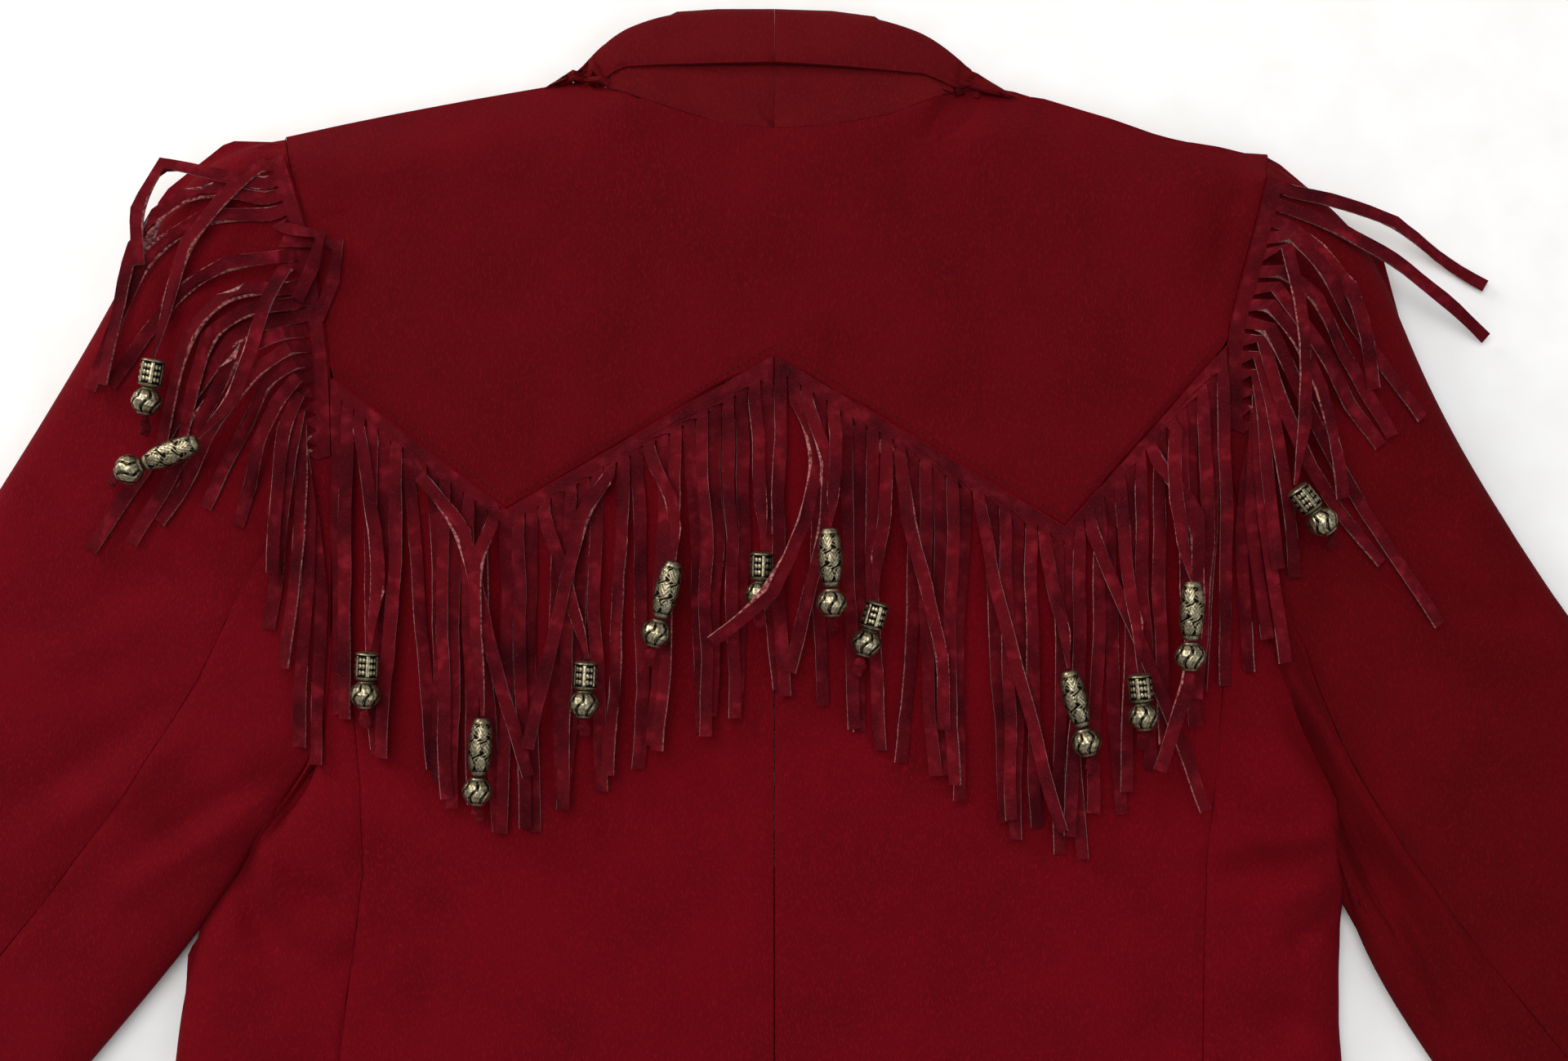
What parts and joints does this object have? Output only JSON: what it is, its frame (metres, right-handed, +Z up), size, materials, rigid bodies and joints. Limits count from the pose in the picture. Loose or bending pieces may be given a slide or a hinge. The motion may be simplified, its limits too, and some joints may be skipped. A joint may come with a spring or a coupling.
{
  "type": "western blazer",
  "caption": "Wool blazer laid flat, back up, with a double-pointed yoke and long suede fringe with cast metal beads along the yoke and armholes.",
  "frame": {"origin": "centre of the outline, on the surface that the garment lies on", "axes": "+X from the left cuff to the right cuff as seen from above, +Y from the hem to the collar, +Z up"},
  "size_m": [1.0918, 0.6724, 0.0603],
  "materials": {
    "wool": "fine wine-red wool",
    "suede": "wine-red suede",
    "beads": "antique brass, dark in the recesses",
    "button": "dyed to match"
  },
  "bodies": {
    "root": {"back_left": "wool", "back_right": "wool", "beads_01": "beads", "beads_02": "beads", "beads_03": "beads", "beads_04": "beads", "beads_05": "beads", "beads_06": "beads", "beads_07": "beads", "beads_08": "beads", "beads_09": "beads", "beads_10": "beads", "beads_11": "beads", "beads_12": "beads", "beads_13": "beads", "button": "button", "collar_left": "wool", "collar_right": "wool", "fringe_armhole_left": "suede", "fringe_armhole_right": "suede", "fringe_yoke_left": "suede", "fringe_yoke_right": "suede", "front_left": "wool", "front_right": "wool", "knot_01": "suede", "knot_02": "suede", "knot_03": "suede", "knot_04": "suede", "knot_05": "suede", "knot_06": "suede", "knot_07": "suede", "knot_08": "suede", "knot_09": "suede", "knot_10": "suede", "knot_11": "suede", "knot_12": "suede", "knot_13": "suede", "lapel_left": "wool", "lapel_right": "wool", "side_left": "wool", "side_right": "wool", "top_sleeve_left": "wool", "top_sleeve_right": "wool", "under_sleeve_left": "wool", "under_sleeve_right": "wool", "yoke": "wool"}
  },
  "joints": []
}
